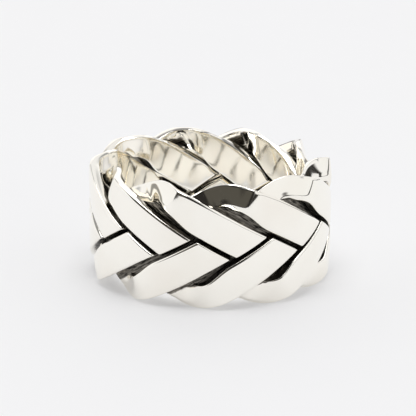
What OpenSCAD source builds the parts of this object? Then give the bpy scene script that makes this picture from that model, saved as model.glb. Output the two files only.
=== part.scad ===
// Braided band ring: five flat strands plaited over two and under two, each a closed loop
// that swings twice from rim to rim on its way round the finger.
// It lies on its lower scalloped rim, with the finger hole upright along +Z.

/* [Band] */
// Finger hole across, between the innermost strand faces
finger_d = 17.2; // [16:0.1:19.8]
// Height of the band along the finger, from lowest to highest scallop
band_h = 10.95; // [10.7:0.05:12]

/* [Strand] */
// Width of a strand where it shows, laid flat
strand_w = 2.75; // [2.2:0.05:2.8]
// Thickness of a strand, measured towards the finger
strand_t = 0.9; // [0.7:0.02:1.1]
// Extra width on a strand's outer side where it turns at the band's rim
turn_flare = 0.12; // [0:0.02:0.2]
// Width that a strand gives up on its inner side where it turns at the band's rim
turn_waist = 0.75; // [0.7:0.01:0.85]
// Bevel on a strand's long edges
edge_bevel = 0.14; // [0.05:0.01:0.24]
// How far the middle of a strand's outer face stands above its shoulders
face_crown = 0.04; // [0:0.01:0.1]

/* [Clearances] */
// Open space between two strands where one crosses the other
crossing_gap = 0.1; // [0.06:0.01:0.2]
// Open space between neighbours that run side by side in the inner layer
side_gap = 0.15; // [0.15:0.01:0.3]

/* [Hidden] */

strand_count = 5;
// Full waves that one strand makes on its way round: two, so ten chevrons in all
waves = 2;
// Turn of the whole braid about the finger, in degrees of the strand's wave
braid_turn = 77;

// Radius of the cylinder that the braid is laid out on, near the middle of its two layers
wrap_r = finger_d / 2 + 1.45 * strand_t;
// Distance along the band for one degree of the strand's wave
step_s = wrap_r * PI / 180 / waves;
// Half the height that the strand's middle line swings through
swing = (band_h - strand_w) / 2 - turn_flare;

// How sharply the wave turns at the rims: 0 is a plain sine, near 1 is a zigzag
turn_share = 0.93;
// Wave angles, in a half wave that starts at mid height: the strand drops to the inner
// layer at its start, and climbs back to the outer layer as it turns at the rim
drop_at = 1;
drop_half = 3.5;
climb_from = 73;
climb_to = 109;
// Wave angles over which the hidden part widens and then narrows again
spread_from = 5;
spread_full = 18;
spread_ease = 50;
spread_to = 76;
// Wave angle of the narrowest place of the waist, and half the angle that it takes up
waist_at = 93;
waist_half = 44;

// Share of one layer step that is left between two strands at the tightest crossing
clear_share = 1.38;
lift = (strand_t + crossing_gap) / clear_share;
// Radius of the middle of the two layers
mid_r = finger_d / 2 + strand_t / 2 + lift;

// Height of the strand's middle line at wave angle a, and its slope along the band
function wave_z(a) = swing * asin(turn_share * sin(a)) / asin(turn_share);
function wave_slope(a) = swing * turn_share * cos(a) / sqrt(1 - pow(turn_share * sin(a), 2))
    / asin(turn_share) / step_s;

// The lean of a cut across the strand that follows the crossing strand's edge,
// in wave degrees for each unit of width
mid_lean = atan(wave_slope(0));
lean = cos(mid_lean) / tan(2 * mid_lean) / step_s;

// Width that is free between neighbours in the inner layer, which the hidden parts take up
// so that the recesses have a floor: most of it on the outer side of the turn
hidden_free = max(0, 360 / strand_count * step_s * sin(mid_lean) - strand_w - side_gap);
spread_out = 0.68 * hidden_free;
spread_in = 0.32 * hidden_free;

function ease(x) = let (u = min(1, max(0, x))) u * u * (3 - 2 * u);
function half_wave(a) = (a % 180 + 180) % 180;

// Level of a strand: -1 on the inner layer, 1 on the outer layer
function level(a) =
    let (b = half_wave(a - drop_at + drop_half))
    b < 2 * drop_half ? 1 - 2 * ease(b / (2 * drop_half))
    : 2 * ease((b + drop_at - drop_half - climb_from) / (climb_to - climb_from)) - 1;

// How far the hidden part's widening and the waist have come at wave angle a, from 0 to 1
function spread(a) =
    let (b = half_wave(a))
    ease((b - spread_from) / (spread_full - spread_from))
    * (1 - ease((b - spread_ease) / (spread_to - spread_ease)));
function waist(a) =
    let (b = half_wave(a - waist_at + 90) - 90)
    abs(b) < waist_half ? pow(cos(90 * b / waist_half), 2) : 0;

// Place across a strand: its outer side is the one towards the rim at the next turn
function side_place(a, v) =
    v * (1 + 2 / strand_w * (v * sin(a) > 0
        ? turn_flare * pow(sin(a), 2) + spread_out * spread(a)
        : spread_in * spread(a) - turn_waist * waist(a)));

// Wave angles of the cuts across the strand in one half wave
function steps(from, to, count) = [for (i = [0 : count - 1]) from + (to - from) * i / count];
half_cuts = concat(
    steps(drop_at - drop_half, drop_at + drop_half, 6),
    steps(drop_at + drop_half, spread_full, 3),
    steps(spread_full, spread_ease, 3),
    steps(spread_ease, climb_from, 3),
    steps(climb_from, climb_to, 12),
    steps(climb_to, 180 + drop_at - drop_half, 7));
cuts = [for (half = [0 : 2 * waves - 1]) for (a = half_cuts) a + 180 * half];

// Outline of the strand's section: across its width, then out from its middle
section = [
    [-strand_w / 2, strand_t / 2 - edge_bevel],
    [-strand_w / 2 + edge_bevel, strand_t / 2 - face_crown],
    [0, strand_t / 2],
    [strand_w / 2 - edge_bevel, strand_t / 2 - face_crown],
    [strand_w / 2, strand_t / 2 - edge_bevel],
    [strand_w / 2, -strand_t / 2 + edge_bevel],
    [strand_w / 2 - edge_bevel, -strand_t / 2],
    [-strand_w / 2 + edge_bevel, -strand_t / 2],
    [-strand_w / 2, -strand_t / 2 + edge_bevel]];

// One point of a strand: cut at wave angle a0, v0 across the width, u out from the middle
function strand_point(a0, v0, u, turn) =
    let (
        v = side_place(a0, v0),
        a = a0 - lean * cos(a0) * v,
        m = wave_slope(a),
        n = sqrt(1 + m * m),
        r = mid_r + lift * level(a0) + u,
        s = (a + turn) / waves - v * m / n / (wrap_r * PI / 180))
    [r * sin(s), -r * cos(s), band_h / 2 + wave_z(a) + v / n];

module strand(turn) {
    k = len(section);
    rows = len(cuts);
    polyhedron(
        points = [for (a = cuts) for (p = section) strand_point(a, p[0], p[1], turn)],
        faces = [for (i = [0 : rows - 1]) for (j = [0 : k - 1])
            let (
                i2 = (i + 1) % rows, j2 = (j + 1) % k,
                p00 = i * k + j, p01 = i * k + j2,
                p10 = i2 * k + j, p11 = i2 * k + j2)
            each [[p00, p11, p10], [p00, p01, p11]]],
        convexity = 8);
}

module strand_1() { color("silver") strand(braid_turn); }
module strand_2() { color("silver") strand(braid_turn + 360 / strand_count); }
module strand_3() { color("silver") strand(braid_turn + 2 * 360 / strand_count); }
module strand_4() { color("silver") strand(braid_turn + 3 * 360 / strand_count); }
module strand_5() { color("silver") strand(braid_turn + 4 * 360 / strand_count); }

strand_1();
strand_2();
strand_3();
strand_4();
strand_5();
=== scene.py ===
# Braided band ring: five flat polished silver strands plaited over two and under two,
# with blackened recesses over a dark sheet of painted shade, lying on a pale floor with a painted glow.
# Metres, +Z up, origin under the hole.
import math

import bpy
import numpy as np
from mathutils import Matrix, Vector
from mathutils.bvhtree import BVHTree


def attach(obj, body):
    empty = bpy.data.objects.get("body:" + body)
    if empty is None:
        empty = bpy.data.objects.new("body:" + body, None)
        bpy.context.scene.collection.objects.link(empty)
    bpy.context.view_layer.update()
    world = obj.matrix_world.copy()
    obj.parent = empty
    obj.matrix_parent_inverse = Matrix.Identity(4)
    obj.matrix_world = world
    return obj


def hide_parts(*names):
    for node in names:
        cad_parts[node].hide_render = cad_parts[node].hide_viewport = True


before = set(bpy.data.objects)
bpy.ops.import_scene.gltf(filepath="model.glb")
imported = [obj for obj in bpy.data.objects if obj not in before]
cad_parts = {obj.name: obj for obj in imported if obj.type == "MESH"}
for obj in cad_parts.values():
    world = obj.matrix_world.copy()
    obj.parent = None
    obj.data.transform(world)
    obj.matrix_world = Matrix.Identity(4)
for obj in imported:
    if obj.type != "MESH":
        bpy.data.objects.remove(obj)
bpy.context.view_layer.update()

scene = bpy.context.scene
RAD = math.pi / 180
MM_PER_M = 1000.0

# Sizes of the plait in millimetres, as in the CAD model
FINGER_D = 17.2
BAND_H = 10.95
STRAND_W = 2.75
STRAND_T = 0.9
TURN_FLARE = 0.12
TURN_WAIST = 0.75
EDGE_BEVEL = 0.14
FACE_CROWN = 0.04
CROSSING_GAP = 0.1
SIDE_GAP = 0.15

# Strands, the waves of each on its way round, and the turn of the whole braid in wave degrees
STRANDS = 5
WAVES = 2
BRAID_TURN = 77.0
# How sharply the wave turns at the rims: 0 is a plain sine, near 1 is a zigzag
TURN_SHARE = 0.93

# Wave angles in a half wave that starts at mid height: the drop to the inner layer, the climb
# back as the strand turns at the rim, the widening of its hidden part, and its waist
DROP_AT = 1.0
DROP_HALF = 3.5
CLIMB_FROM = 73.0
CLIMB_TO = 109.0
SPREAD_FROM = 5.0
SPREAD_FULL = 18.0
SPREAD_EASE = 50.0
SPREAD_TO = 76.0
WAIST_AT = 93.0
WAIST_HALF = 44.0
# Shares of the hidden widening on the outer and the inner side of the turn
SPREAD_OUT = 0.68
SPREAD_IN = 0.32

# Radius that the braid is laid out on, near the middle of its two layers
WRAP_SHARE = 1.45
WRAP_R = FINGER_D / 2 + WRAP_SHARE * STRAND_T
# Share of one layer step that is left at the tightest crossing, then half the step between the
# two layers and the radius of their middle
CLEAR_SHARE = 1.38
LIFT = (STRAND_T + CROSSING_GAP) / CLEAR_SHARE
MID_R = FINGER_D / 2 + STRAND_T / 2 + LIFT
# Distance along the band for one degree of the wave, and half the height of the swing
STEP_S = WRAP_R * RAD / WAVES
SWING = (BAND_H - STRAND_W) / 2 - TURN_FLARE

# Lean of the outer face at the upper rims: wave angles where it comes and goes, its depth for
# each millimetre across the strand, and how softly it starts near the strand's middle
RAMP_FROM = 55.0
RAMP_FULL = 70.0
RAMP_EASE = 92.0
RAMP_TO = 102.0
RAMP_LEAN = 0.42
RAMP_SOFT = 0.15
# Share of that lean that the inner face follows, and of the room that the layer below leaves it
INNER_LEAN = 0.55
INNER_ROOM = 0.85


def ease(value):
    share = np.clip(value, 0, 1)
    return share * share * (3 - 2 * share)


def rise(value, start, end):
    # from 0 at the start to 1 at the end, eased at both
    return ease((value - start) / (end - start))


def fall(value, start, end):
    return 1 - rise(value, start, end)


def wave_z(angle):
    # height of a strand's middle line above the middle of the band
    return SWING * np.arcsin(TURN_SHARE * np.sin(angle * RAD)) / math.asin(TURN_SHARE)


def wave_slope(angle):
    turn = np.asarray(angle) * RAD
    steepness = TURN_SHARE * np.cos(turn) / np.sqrt(1 - (TURN_SHARE * np.sin(turn)) ** 2)
    return SWING * steepness / math.asin(TURN_SHARE) * RAD / STEP_S


# Slope of a strand at mid height, and the lean of a cut that follows the crossing strand's edge
MID_SLOPE = math.atan(float(wave_slope(0.0)))
CUT_LEAN = math.cos(MID_SLOPE) / math.tan(2 * MID_SLOPE) / STEP_S
# Width that is free between neighbours in the inner layer
HIDDEN_FREE = max(0.0, 360 / STRANDS * STEP_S * math.sin(MID_SLOPE) - STRAND_W - SIDE_GAP)


def level(angle):
    # -1 on the inner layer, 1 on the outer layer
    half = np.mod(angle - DROP_AT + DROP_HALF, 180.0)
    climb = 2 * rise(half + DROP_AT - DROP_HALF, CLIMB_FROM, CLIMB_TO) - 1
    return np.where(half < 2 * DROP_HALF, 1 - 2 * ease(half / (2 * DROP_HALF)), climb)


def side_place(angle, across):
    # place across a strand, with its flare, its hidden widening and its waist
    half = np.mod(angle, 180.0)
    spread = rise(half, SPREAD_FROM, SPREAD_FULL) * fall(half, SPREAD_EASE, SPREAD_TO)
    away = np.mod(angle - WAIST_AT + 90, 180.0) - 90
    waist = np.where(np.abs(away) < WAIST_HALF, np.cos(away / WAIST_HALF * math.pi / 2) ** 2, 0)
    sine = np.sin(angle * RAD)
    outer = TURN_FLARE * sine**2 + SPREAD_OUT * HIDDEN_FREE * spread
    inner = SPREAD_IN * HIDDEN_FREE * spread - TURN_WAIST * waist
    return across * (1 + 2 / STRAND_W * np.where(across * sine > 0, outer, inner))


def lean_back(angle, across):
    # at the upper rim the outer face leans back on its way out to the outer layer
    half = np.mod(angle, 180.0)
    upper = np.sin(angle * RAD) > 0
    share = rise(half, RAMP_FROM, RAMP_FULL) * fall(half, RAMP_EASE, RAMP_TO) * upper
    return RAMP_LEAN * share * RAMP_SOFT * np.logaddexp(0, (across + RAMP_SOFT) / RAMP_SOFT)


def strand_points(cut, place, out, turn):
    # points of a strand in metres: the wave angle of the cut, the place across its width, the
    # distance out from its middle, and the turn of the whole strand in wave degrees
    across = side_place(cut, place)
    angle = cut - CUT_LEAN * np.cos(cut * RAD) * across
    slope = wave_slope(angle)
    length = np.sqrt(1 + slope * slope)
    outer = lean_back(cut, place)
    inner = np.minimum(INNER_LEAN * outer, INNER_ROOM * LIFT * (1 + level(cut)))
    radius = MID_R + LIFT * level(cut) + out - inner - (outer - inner) * (out / STRAND_T + 0.5)
    around = ((angle + turn) / WAVES - across * slope / length / (WRAP_R * RAD)) * RAD
    height = BAND_H / 2 + wave_z(angle) + across / length
    return np.stack([radius * np.sin(around), -radius * np.cos(around), height], -1) / MM_PER_M


# Outline of a strand's section in millimetres, each point as its place across the strand and its
# distance out from the strand's middle: a crowned outer face with long soft shoulders, and a
# flat inner face
HALF_W = STRAND_W / 2
HALF_T = STRAND_T / 2
SOFT_W = 0.26
SOFT_T = 0.15
FACE_HALF = HALF_W - SOFT_W
FACE_SIDE = HALF_T - FACE_CROWN
SHOULDER_END = FACE_SIDE - SOFT_T
# Width, depth and flatness of the edge between a side and the inner face. The rims have a deep
# chamfer towards the finger.
PLAIN_EDGE = (EDGE_BEVEL, EDGE_BEVEL, 0.0)
RIM_EDGE = (0.14, 0.5, 0.8)
# Sine of the wave angle where a rim's chamfer starts, and where it is full
CHAMFER_FROM = 0.35
CHAMFER_FULL = 0.7
# Steps along each part of the outline
SHOULDER_STEPS = 9
FACE_STEPS = 12
SIDE_STEPS = 4
EDGE_STEPS = 5
INNER_STEPS = 10


def between(start, end, steps):
    return np.linspace(start, end, steps + 1)[1:-1]


def shoulder(middle, start, end):
    # quarter turn of a soft shoulder, from one angle to the other in degrees
    turns = np.radians(np.linspace(start, end, SHOULDER_STEPS + 1))
    return [(middle + SOFT_W * math.cos(turn), SHOULDER_END + SOFT_T * math.sin(turn)) for turn in turns]


def inner_edge(wide, deep, flat):
    # the edge between a side and the inner face, from round (0) to a plain chamfer (1)
    share = np.linspace(0, 1, EDGE_STEPS + 1)
    turn = share * math.pi / 2
    across = (1 - flat) * np.cos(turn) + flat * (1 - share) - 1
    out = 1 - (1 - flat) * np.sin(turn) - flat * share
    return HALF_W + wide * across, -HALF_T + deep * out


def section_with(right, left):
    # the whole outline, with the given inner edges on its right and on its left
    right_across, right_out = inner_edge(*right)
    left_across, left_out = inner_edge(*left)
    points = shoulder(-FACE_HALF, 180, 90)
    for across in between(-FACE_HALF, FACE_HALF, FACE_STEPS):
        points.append((across, HALF_T - FACE_CROWN * (across / FACE_HALF) ** 2))
    points += shoulder(FACE_HALF, 90, 0)
    points += [(HALF_W, out) for out in between(SHOULDER_END, right_out[0], SIDE_STEPS)]
    points += list(zip(right_across, right_out))
    points += [(across, -HALF_T) for across in between(right_across[-1], -left_across[-1], INNER_STEPS)]
    points += list(zip(-left_across[::-1], left_out[::-1]))
    points += [(-HALF_W, out) for out in between(left_out[0], SHOULDER_END, SIDE_STEPS)]
    return np.array(points)


# Cuts across the strand in one half wave: from, to and how many
SPANS = [
    (DROP_AT - DROP_HALF, DROP_AT + DROP_HALF, 14),
    (DROP_AT + DROP_HALF, SPREAD_FULL, 8),
    (SPREAD_FULL, SPREAD_EASE, 12),
    (SPREAD_EASE, CLIMB_FROM, 20),
    (CLIMB_FROM, CLIMB_TO, 48),
    (CLIMB_TO, 180 + DROP_AT - DROP_HALF, 24)]
half_cuts = np.concatenate([np.linspace(*span, endpoint=False) for span in SPANS])
cuts = np.concatenate([half_cuts + 180 * half for half in range(2 * WAVES)])

# The plain section, and the section at each cut with what the rims' chamfers take off it
section = section_with(PLAIN_EDGE, PLAIN_EDGE)
ROWS = len(cuts)
RING = len(section)
cut_sines = np.sin(cuts * RAD)[:, None, None]
upper_loss = section_with(RIM_EDGE, PLAIN_EDGE) - section
lower_loss = section_with(PLAIN_EDGE, RIM_EDGE) - section
sections = section + rise(cut_sines, CHAMFER_FROM, CHAMFER_FULL) * upper_loss
sections += rise(-cut_sines, CHAMFER_FROM, CHAMFER_FULL) * lower_loss


def strand_shape(index):
    turn = BRAID_TURN + 360 / STRANDS * index
    points = strand_points(cuts[:, None], sections[..., 0], sections[..., 1], turn)
    rows, places = np.meshgrid(np.arange(ROWS), np.arange(RING), indexing="ij")

    def corner(row_step, place_step):
        return (rows + row_step) % ROWS * RING + (places + place_step) % RING

    faces = np.stack([corner(0, 0), corner(1, 0), corner(1, 1), corner(0, 1)], -1)
    return points.reshape(-1, 3), faces.reshape(-1, 4)


def area_normals(points, faces):
    # normals at the points, where a large face counts more than a small one
    corners = points[faces]
    across = np.cross(corners[:, 2] - corners[:, 0], corners[:, 3] - corners[:, 1])
    sums = np.zeros_like(points)
    for corner in range(4):
        np.add.at(sums, faces[:, corner], across)
    return sums / np.linalg.norm(sums, axis=1, keepdims=True)


# The dark sheet in the recesses, painted shade in a thin band between the two layers, in millimetres
CORE_T = 0.12
CORE_H = 7.1
CORE_SIDES = 360


def core_shape():
    angles = 2 * math.pi * np.arange(CORE_SIDES) / CORE_SIDES
    corners = []
    for end, face in ((-1, -1), (-1, 1), (1, 1), (1, -1)):
        radius = MID_R + face * CORE_T / 2
        height = np.full(CORE_SIDES, BAND_H / 2 + end * CORE_H / 2)
        corners.append(np.stack([radius * np.sin(angles), -radius * np.cos(angles), height], -1))
    points = np.stack(corners, 1).reshape(-1, 3) / MM_PER_M
    faces = []
    for i in range(CORE_SIDES):
        here, beyond = i * 4, (i + 1) % CORE_SIDES * 4
        faces += [(here + j, beyond + j, beyond + (j + 1) % 4, here + (j + 1) % 4) for j in range(4)]
    return points, np.array(faces)


strands = [strand_shape(i) for i in range(STRANDS)]
normals = [area_normals(*shape) for shape in strands]
core_points, core_faces = core_shape()

# Strands and waves are all alike, so the first wave of one strand serves for the dark finish
WAVE_ROWS = ROWS // WAVES
wave_points = strands[0][0][:WAVE_ROWS * RING]
wave_normals = normals[0][:WAVE_ROWS * RING]

# Rays from each point, how far they reach and how far off the surface they start, in metres, and
# what a hit at full reach counts
RAYS = 32
RAY_REACH = 0.0022
RAY_LIFT = 2e-5
FAR_HIT = 0.5
GOLDEN_SHARE = 0.6180339887
# A direction that no normal has, to set the rays' frame by
ASKEW = (0.3, 0.5, 0.81)


def occlusion():
    # share of a point's rays that meet metal, where near hits count more than far ones
    solids = strands + [(core_points, core_faces)]
    all_points = np.concatenate([points for points, faces in solids])
    all_faces = np.concatenate([faces + i * ROWS * RING for i, (points, faces) in enumerate(solids)])
    tree = BVHTree.FromPolygons(all_points.tolist(), all_faces.tolist(), epsilon=0.0)
    rng = np.random.default_rng(seed=5)
    turns = 2 * math.pi * (np.arange(RAYS) * GOLDEN_SHARE % 1)
    cosines = np.sqrt(1 - (np.arange(RAYS) + 0.5) / RAYS)
    sines = np.sqrt(1 - cosines**2)
    shares = []
    for point, normal in zip(wave_points, wave_normals):
        side = np.cross(normal, ASKEW)
        side /= np.linalg.norm(side)
        up = np.cross(normal, side)
        spin = turns + rng.random() * 2 * math.pi
        rays = normal * cosines[:, None]
        rays = rays + side * (sines * np.cos(spin))[:, None] + up * (sines * np.sin(spin))[:, None]
        start = Vector(point + normal * RAY_LIFT)
        hits = 0.0
        for ray in rays:
            distance = tree.ray_cast(start, Vector(ray), RAY_REACH)[3]
            if distance is not None:
                hits += 1 - (1 - FAR_HIT) * distance / RAY_REACH
        shares.append(hits / RAYS)
    return np.array(shares).reshape(WAVE_ROWS, RING)


# How much polishing through the finger hole takes away, and where a strand is near the finger
FINGER_POLISH = 0.5
NEAR_FINGER_R = 9.45
PAST_FINGER_R = 9.7
# How much dark the wedges and strips add, and the share of it that the upper turns lose
WEDGE_DARK = 0.42
STRIP_DARK = 0.28
UPPER_POLISH = 0.65
# How much dark the lower scallops add, the heights in millimetres between which it fades, and
# how buried the metal has to be to get all of it
LOW_DARK = 0.13
LOW_FROM = 2.2
LOW_TO = 4.7
LOW_NEEDS = 0.2
# Wave angle where a strip ends at mid width, and its shift at an upper rim and at a strand's side
STRIP_END = 78
STRIP_UPPER = 2.5
STRIP_SIDE = 7
# Wave angles in a half wave where the wedges, strips and polished turns come and where they go.
# The strips go at angles past their end.
WEDGE_COMES = (42, 54)
WEDGE_GOES = (82, 98)
STRIP_COMES = (35, 50)
STRIP_GOES = (-2, 3)
POLISH_COMES = (52, 62)
# Millimetres across a strand where they start and are full: the wedges towards the inner side
# of a turn, the polish towards its outer side
WEDGE_SIDE = (0.7, 1.1)
POLISH_SIDE = (-0.9, -0.3)
# How a surface faces, from -1 towards the finger to 1 away from it: where it stops counting as
# the inside, where it starts counting for the wedges and strips, and where the polish through
# the finger hole fades
FACES_IN = (-0.7, -0.2)
FACES_OUT = (-0.5, -0.1)
PAST_FINGER = (0.3, 0.7)


def smoothed(values):
    for _ in range(2):
        padded = np.concatenate([values[-1:], values, values[:1]])
        values = (padded[:-2] + 2 * padded[1:-1] + padded[2:]) / 4
        values = (np.roll(values, 1, 1) + 2 * values + np.roll(values, -1, 1)) / 4
    return values


def dark_finish():
    # how buried each point of a strand is, and how far it faces the finger, from 0 to 1
    radius = np.linalg.norm(wave_points[:, :2], axis=1)
    facing = (wave_normals[:, :2] * wave_points[:, :2]).sum(1) / radius
    inside = fall(facing, *FACES_IN)
    near = fall(radius * MM_PER_M, NEAR_FINGER_R, PAST_FINGER_R) * fall(facing, *PAST_FINGER)
    buried = occlusion()
    buried *= (1 - FINGER_POLISH * np.maximum(inside, near)).reshape(WAVE_ROWS, RING)

    # the dark runs on in a wedge along the inner side of each turn, and in a strip up to the
    # edge of the climb, but the outer part of an upper turn was polished brighter
    cut = cuts[:WAVE_ROWS, None]
    upper = np.sign(np.sin(cut * RAD))
    turn_side = section[None, :, 0] * upper
    climb = np.mod(cut, 180.0)
    wedge = rise(climb, *WEDGE_COMES) * fall(climb, *WEDGE_GOES) * rise(-turn_side, *WEDGE_SIDE)
    strip_end = STRIP_END + STRIP_UPPER * upper - STRIP_SIDE * turn_side / HALF_W
    strip = rise(climb, *STRIP_COMES) * fall(climb - strip_end, *STRIP_GOES)
    outward = rise(facing, *FACES_OUT).reshape(WAVE_ROWS, RING)
    buried += (WEDGE_DARK * wedge + STRIP_DARK * strip) * outward
    buried *= 1 - UPPER_POLISH * (upper > 0) * rise(climb, *POLISH_COMES) * rise(turn_side, *POLISH_SIDE)

    # the lower scallops are made darker than the upper ones
    buried = np.tile(smoothed(buried).reshape(-1), WAVES)
    inside = np.tile(inside, WAVES)
    low = fall(strands[0][0][:, 2] * MM_PER_M, LOW_FROM, LOW_TO)
    buried += LOW_DARK * low * rise(buried, 0, LOW_NEEDS) * (1 - inside)
    return buried, inside


def node(tree, kind, **settings):
    # a node with its own settings and the values of its sockets
    made = tree.nodes.new(kind)
    for name, value in settings.items():
        if hasattr(made, name):
            setattr(made, name, value)
        else:
            made.inputs[name.replace("_", " ")].default_value = value
    return made


def math_node(tree, kind, *values):
    made = node(tree, "ShaderNodeMath", operation=kind)
    for socket, value in zip(made.inputs, values):
        if isinstance(value, float):
            socket.default_value = value
        else:
            tree.links.new(value, socket)
    return made.outputs[0]


def noise(tree, vector, scale, detail, roughness):
    made = node(tree, "ShaderNodeTexNoise", Scale=scale, Detail=detail, Roughness=roughness)
    tree.links.new(vector, made.inputs["Vector"])
    return made.outputs[0]


def smooth_range(tree, value, start, end, low=0.0, high=1.0):
    made = node(tree, "ShaderNodeMapRange", interpolation_type="SMOOTHSTEP",
                From_Min=start, From_Max=end, To_Min=low, To_Max=high)
    tree.links.new(value, made.inputs["Value"])
    return made.outputs["Result"]


def ramp(tree, value, *stops):
    made = node(tree, "ShaderNodeValToRGB")
    for element, (position, colour) in zip(made.color_ramp.elements, stops):
        element.position = position
        element.color = (*colour, 1)
    tree.links.new(value, made.inputs["Fac"])
    return made.outputs["Color"]


def blend(tree, kind, share, first, second):
    # mix of two values or colours, where the second may be a constant
    made = node(tree, "ShaderNodeMix", data_type=kind)
    tree.links.new(share, made.inputs["Factor"])
    tree.links.new(first, made.inputs["A"])
    if isinstance(second, (float, tuple)):
        made.inputs["B"].default_value = second
    else:
        tree.links.new(second, made.inputs["B"])
    return made.outputs["Result"]


# How fast the streaks change along their run, as a share of how fast they do across it
STREAK_STRETCH = 0.12


def recess_streaks(tree, spot):
    # rubbed streaks that run with the edge of the strand that lies above: they are measured
    # round the band and up or down from its middle, both in millimetres
    place = node(tree, "ShaderNodeSeparateXYZ")
    tree.links.new(spot, place.inputs[0])
    x, y, z = place.outputs
    turned = math_node(tree, "ARCTAN2", x, math_node(tree, "MULTIPLY", y, -1.0))
    around = math_node(tree, "MULTIPLY", turned, MID_R)
    offset = math_node(tree, "SUBTRACT", z, BAND_H / 2 / MM_PER_M)
    climb = math_node(tree, "MULTIPLY", math_node(tree, "ABSOLUTE", offset), MM_PER_M)

    def turned_sum(kind, around_share, climb_share):
        first = math_node(tree, "MULTIPLY", around, around_share)
        return math_node(tree, kind, first, math_node(tree, "MULTIPLY", climb, climb_share))

    sine, cosine = math.sin(MID_SLOPE), math.cos(MID_SLOPE)
    stretched = node(tree, "ShaderNodeCombineXYZ")
    tree.links.new(turned_sum("ADD", sine, cosine), stretched.inputs["X"])
    along = turned_sum("SUBTRACT", STREAK_STRETCH * cosine, STREAK_STRETCH * sine)
    tree.links.new(along, stretched.inputs["Y"])
    return noise(tree, stretched.outputs[0], scale=7.5, detail=4.0, roughness=0.65)


# How buried a point is where the dark finish starts and where it is full, and how far its edge
# strays
DARK_FROM = 0.40
DARK_FULL = 0.54
RAGGED = 0.16


def silver_material():
    mat = bpy.data.materials.new("polished_silver")
    mat.use_nodes = True
    tree = mat.node_tree
    shader = tree.nodes["Principled BSDF"]
    shader.inputs["Metallic"].default_value = 1.0
    spot = node(tree, "ShaderNodeTexCoord").outputs["Object"]
    buried = node(tree, "ShaderNodeAttribute", attribute_name="buried").outputs["Fac"]
    within = node(tree, "ShaderNodeAttribute", attribute_name="inside").outputs["Fac"]

    # the dark finish has a ragged edge, and rubbed metal shows through it in streaks; on the recess
    # sheet this dark colour is painted shade
    grain = noise(tree, spot, scale=2600.0, detail=4.0, roughness=0.6)
    ragged = math_node(tree, "MULTIPLY_ADD", grain, RAGGED, -RAGGED / 2)
    dark = smooth_range(tree, math_node(tree, "ADD", buried, ragged), DARK_FROM, DARK_FULL)
    streaks = recess_streaks(tree, spot)
    tarnish_and_shade = ramp(tree, streaks, (0.4, (0.008, 0.0074, 0.0065)), (0.66, (0.34, 0.315, 0.275)))

    # faint warmth that comes and goes over the polished faces
    cloud = noise(tree, spot, scale=180.0, detail=2.0, roughness=0.5)
    bright = ramp(tree, cloud, (0.3, (0.965, 0.928, 0.855)), (0.6, (1.0, 0.976, 0.912)))
    tree.links.new(blend(tree, "RGBA", dark, bright, tarnish_and_shade), shader.inputs["Base Color"])

    # mirror finish with a fine haze, a little rougher inside the ring and matt where it is dark
    polish = node(tree, "ShaderNodeMapRange", To_Min=0.045, To_Max=0.085)
    haze = noise(tree, spot, scale=900.0, detail=3.0, roughness=0.6)
    tree.links.new(haze, polish.inputs["Value"])
    worn = math_node(tree, "MULTIPLY_ADD", within, 0.02, polish.outputs["Result"])
    tree.links.new(blend(tree, "FLOAT", dark, worn, 0.38), shader.inputs["Roughness"])

    # slow unevenness left by hand polishing, and a fine tooth in the recesses
    slow = node(tree, "ShaderNodeBump", Strength=0.09, Distance=0.0002)
    swell = noise(tree, spot, scale=260.0, detail=1.0, roughness=0.4)
    tree.links.new(swell, slow.inputs["Height"])
    tooth = node(tree, "ShaderNodeBump", Distance=0.00003)
    tree.links.new(math_node(tree, "MULTIPLY", dark, 0.8), tooth.inputs["Strength"])
    tree.links.new(streaks, tooth.inputs["Height"])
    tree.links.new(slow.outputs["Normal"], tooth.inputs["Normal"])
    tree.links.new(tooth.outputs["Normal"], shader.inputs["Normal"])
    return mat


silver = silver_material()


def silver_mesh(name, points, faces, buried, inside):
    mesh = bpy.data.meshes.new(name)
    mesh.from_pydata(points.tolist(), [], faces.tolist())
    for label, values in (("buried", buried), ("inside", inside)):
        attribute = mesh.attributes.new(label, "FLOAT", "POINT")
        attribute.data.foreach_set("value", values.astype(np.float32))
    mesh.update()
    mesh.materials.append(silver)
    return mesh


strand_buried, strand_inside = dark_finish()

# The five strands
for i, (points, faces) in enumerate(strands):
    mesh = silver_mesh(f"braid_strand_{i + 1}", points, faces, strand_buried, strand_inside)
    mesh.polygons.foreach_set("use_smooth", [True] * len(mesh.polygons))
    mesh.normals_split_custom_set_from_vertices(normals[i].tolist())
    piece = bpy.data.objects.new(f"braid_strand_{i + 1}", mesh)
    scene.collection.objects.link(piece)
    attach(piece, "root")
    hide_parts(f"strand_{i + 1}")

# The dark sheet between the layers, painted shade that fills the gaps between the strands, which is
# polished on the side of the finger
CORE_POLISHED = 0.3
# the outer side is fully dark: painted shade where the gaps between the strands would look into the band
outward = np.tile(np.array([0, 1, 1, 0]), CORE_SIDES)
core_buried = CORE_POLISHED + (1 - CORE_POLISHED) * outward
core_mesh = silver_mesh("recess_shade_sheet", core_points, core_faces, core_buried, 1 - outward)
core = bpy.data.objects.new("recess_shade_sheet", core_mesh)
scene.collection.objects.link(core)
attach(core, "root")

# Where the floor's painted glow, a painted pool of light under the finger hole, starts to fade and where
# it has gone, in metres, and its strength at both
GLOW_FROM = 0.0075
GLOW_TO = 0.0095
GLOW_MIDDLE = 0.47
GLOW_AROUND = 0.35


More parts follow.
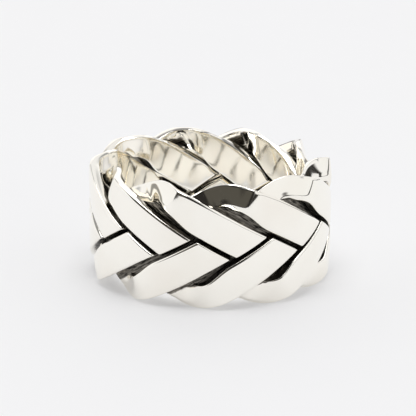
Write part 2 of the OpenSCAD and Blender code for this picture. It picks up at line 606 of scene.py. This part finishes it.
def paper_material():
    # pale paper with a painted glow that lifts the shadows round the ring, a little more in the middle:
    # a painted pool of light that brightens the inside of the ring
    mat = bpy.data.materials.new("pale_floor")
    mat.use_nodes = True
    tree = mat.node_tree
    shader = tree.nodes["Principled BSDF"]
    shader.inputs["Roughness"].default_value = 0.7
    shader.inputs["Specular IOR Level"].default_value = 0.2
    shader.inputs["Emission Color"].default_value = (0.998, 0.994, 1.0, 1)
    spot = node(tree, "ShaderNodeTexCoord").outputs["Object"]
    grain = noise(tree, spot, scale=60.0, detail=2.0, roughness=0.5)
    tone = ramp(tree, grain, (0.0, (0.518, 0.519, 0.526)), (1.0, (0.528, 0.529, 0.536)))
    tree.links.new(tone, shader.inputs["Base Color"])
    distance = node(tree, "ShaderNodeVectorMath", operation="LENGTH")
    tree.links.new(spot, distance.inputs[0])
    # painted light: the floor's glow, stronger under the finger hole
    glow = smooth_range(tree, distance.outputs["Value"], GLOW_FROM, GLOW_TO, GLOW_MIDDLE, GLOW_AROUND)
    tree.links.new(glow, shader.inputs["Emission Strength"])
    return mat


# Floor
bpy.ops.mesh.primitive_plane_add(size=3.0, location=(0, 0, 0))
floor = bpy.context.object
floor.name = "floor"
floor.data.materials.append(paper_material())

# Cards round the ring, each laid over those before it: azimuth and height of its middle, angles
# from there where it starts to fade and where it ends, all in degrees, and its colour
BLACK = (0.025, 0.023, 0.021)
CARDS = [
    (90, 15, 40, 55, (1.1, 1.1, 1.1)),
    (-18, 15, 46, 52, (0.92, 0.92, 0.92)),
    (70, 68, 12, 20, (0.88, 0.88, 0.88)),
    (-112, 16, 33, 36, BLACK),
    (-80, 40, 13, 16, BLACK),
    (-95, 51, 14, 17, BLACK),
    (-121, 17, 12, 25, (0.085, 0.079, 0.066))]
# The left card is laid over the dark room too
LEFT_CARD = (172, 15, 30, 40, (0.95, 0.95, 0.95))
# A dark room shows at and below the horizon: full under one height of the direction, which is
# the sine of its angle, and gone above the other
ROOM_FULL = 0.045
ROOM_ENDS = 0.09
ROOM = (0.03, 0.028, 0.025)


def studio_world():
    # a grey tent with bright and dark cards in it, and a dark room low down
    world = bpy.data.worlds.new("studio")
    world.use_nodes = True
    tree = world.node_tree
    sky = tree.nodes["Background"]
    sky.inputs["Strength"].default_value = 1.0
    direction = node(tree, "ShaderNodeTexCoord").outputs["Generated"]
    parts = node(tree, "ShaderNodeSeparateXYZ")
    tree.links.new(direction, parts.inputs[0])
    height = parts.outputs["Z"]

    def with_card(behind, azimuth, elevation, inner, outer, shade):
        turn, climb = azimuth * RAD, elevation * RAD
        flat = math.cos(climb)
        toward = node(tree, "ShaderNodeVectorMath", operation="DOT_PRODUCT")
        toward.inputs[1].default_value = (math.cos(turn) * flat, math.sin(turn) * flat, math.sin(climb))
        tree.links.new(direction, toward.inputs[0])
        mask = smooth_range(tree, toward.outputs["Value"], math.cos(outer * RAD), math.cos(inner * RAD))
        return blend(tree, "RGBA", mask, behind, (*shade, 1))

    colour = ramp(tree, height, (0.0, (0.22, 0.22, 0.22)), (0.85, (0.3, 0.3, 0.3)))
    for card in CARDS:
        colour = with_card(colour, *card)
    colour = blend(tree, "RGBA", smooth_range(tree, height, ROOM_ENDS, ROOM_FULL), colour, (*ROOM, 1))
    colour = with_card(colour, *LEFT_CARD)
    tree.links.new(colour, sky.inputs["Color"])
    return world


# Light: the studio, and one large softbox high above on the camera's side, aimed at the ring
scene.world = studio_world()
lamp = bpy.data.lights.new("top_soft", "AREA")
lamp.shape = "RECTANGLE"
lamp.size = 1.05
lamp.size_y = 0.9
lamp.energy = 10.9
softbox = bpy.data.objects.new("top_soft", lamp)
softbox.location = (-0.04, -0.22, 1.5)
softbox.rotation_euler = (-softbox.location).to_track_quat("-Z", "Y").to_euler()
scene.collection.objects.link(softbox)

# Camera, fitted to the photograph: the ring's outer radius and the middle of the picture of the
# ring in pixels, the height in degrees, the distance in outer radii and the roll in radians
IMAGE_PX = 416
RADIUS_PX = 120.8
MIDDLE_X_PX = 210.1
MIDDLE_Y_PX = 212.7
ELEVATION = 17.66
FAR = 17.07
ROLL = 0.009
SENSOR_MM = 36
OUTER_R = (MID_R + LIFT + HALF_T) / MM_PER_M
tilt = math.radians(ELEVATION)
distance = FAR * OUTER_R
camera = bpy.data.cameras.new("camera")
camera.sensor_width = SENSOR_MM
camera.lens = SENSOR_MM * RADIUS_PX * FAR / IMAGE_PX
camera.shift_x = (IMAGE_PX / 2 - MIDDLE_X_PX) / IMAGE_PX
camera.shift_y = (MIDDLE_Y_PX - IMAGE_PX / 2) / IMAGE_PX
camera.clip_start = 0.01
camera.clip_end = 10
viewer = bpy.data.objects.new("camera", camera)
middle_z = BAND_H / 2 / MM_PER_M
viewer.location = (0, -distance * math.cos(tilt), distance * math.sin(tilt) + middle_z)
turned = Matrix.Rotation(math.pi / 2 - tilt, 3, "X") @ Matrix.Rotation(ROLL, 3, "Z")
viewer.rotation_euler = turned.to_euler()
scene.collection.objects.link(viewer)
scene.camera = viewer

# Plain colours, and bounces enough for strands that mirror one another
scene.view_settings.view_transform = "Standard"
scene.cycles.max_bounces = 16
scene.cycles.glossy_bounces = 12
